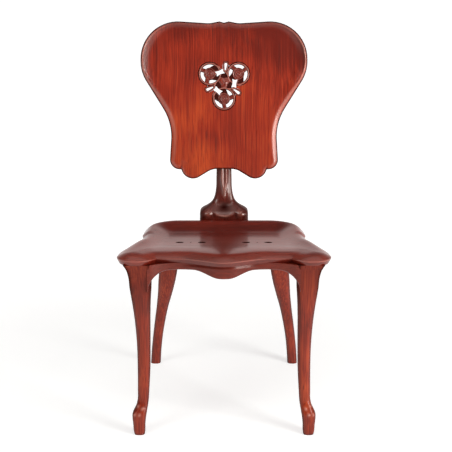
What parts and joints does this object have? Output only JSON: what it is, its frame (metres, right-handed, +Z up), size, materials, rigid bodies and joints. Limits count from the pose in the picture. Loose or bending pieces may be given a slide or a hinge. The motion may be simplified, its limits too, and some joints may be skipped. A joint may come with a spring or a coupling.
{
  "type": "side chair",
  "caption": "Wooden side chair with a scalloped saddle seat, carved curved legs and a pierced shield-shaped back panel carried on a central post.",
  "frame": {"origin": "on the floor, under the middle of the chair's box", "axes": "+Z up, -Y towards the front of the seat, +X to the right as the chair is seen from the front"},
  "size_m": [0.4978, 0.521, 0.9387],
  "materials": {
    "seat_wood": "red-brown stain, satin varnish",
    "back_wood": "red-brown stain, satin varnish",
    "frame_wood": "dark red-brown stain, satin varnish",
    "inner_wood": "bare, planed",
    "screw_steel": "plain steel"
  },
  "bodies": {
    "root": {"seat_front_board": "seat_wood", "seat_middle_board": "seat_wood", "seat_rear_board": "seat_wood", "back_left_board": "back_wood", "back_middle_board": "back_wood", "back_right_board": "back_wood", "front_right_leg": "frame_wood", "front_left_leg": "frame_wood", "rear_right_leg": "frame_wood", "rear_left_leg": "frame_wood", "front_apron": "frame_wood", "rear_apron": "frame_wood", "right_apron": "frame_wood", "left_apron": "frame_wood", "back_post": "frame_wood", "panel_screw_plugs": "frame_wood", "seat_tongues": "inner_wood", "back_tongues": "inner_wood", "tenon_pegs": "inner_wood", "front_right_corner_block": "inner_wood", "front_left_corner_block": "inner_wood", "rear_right_corner_block": "inner_wood", "rear_left_corner_block": "inner_wood", "corner_screws": "screw_steel", "seat_screws": "screw_steel", "post_screws": "screw_steel", "panel_screws": "screw_steel"}
  },
  "joints": []
}
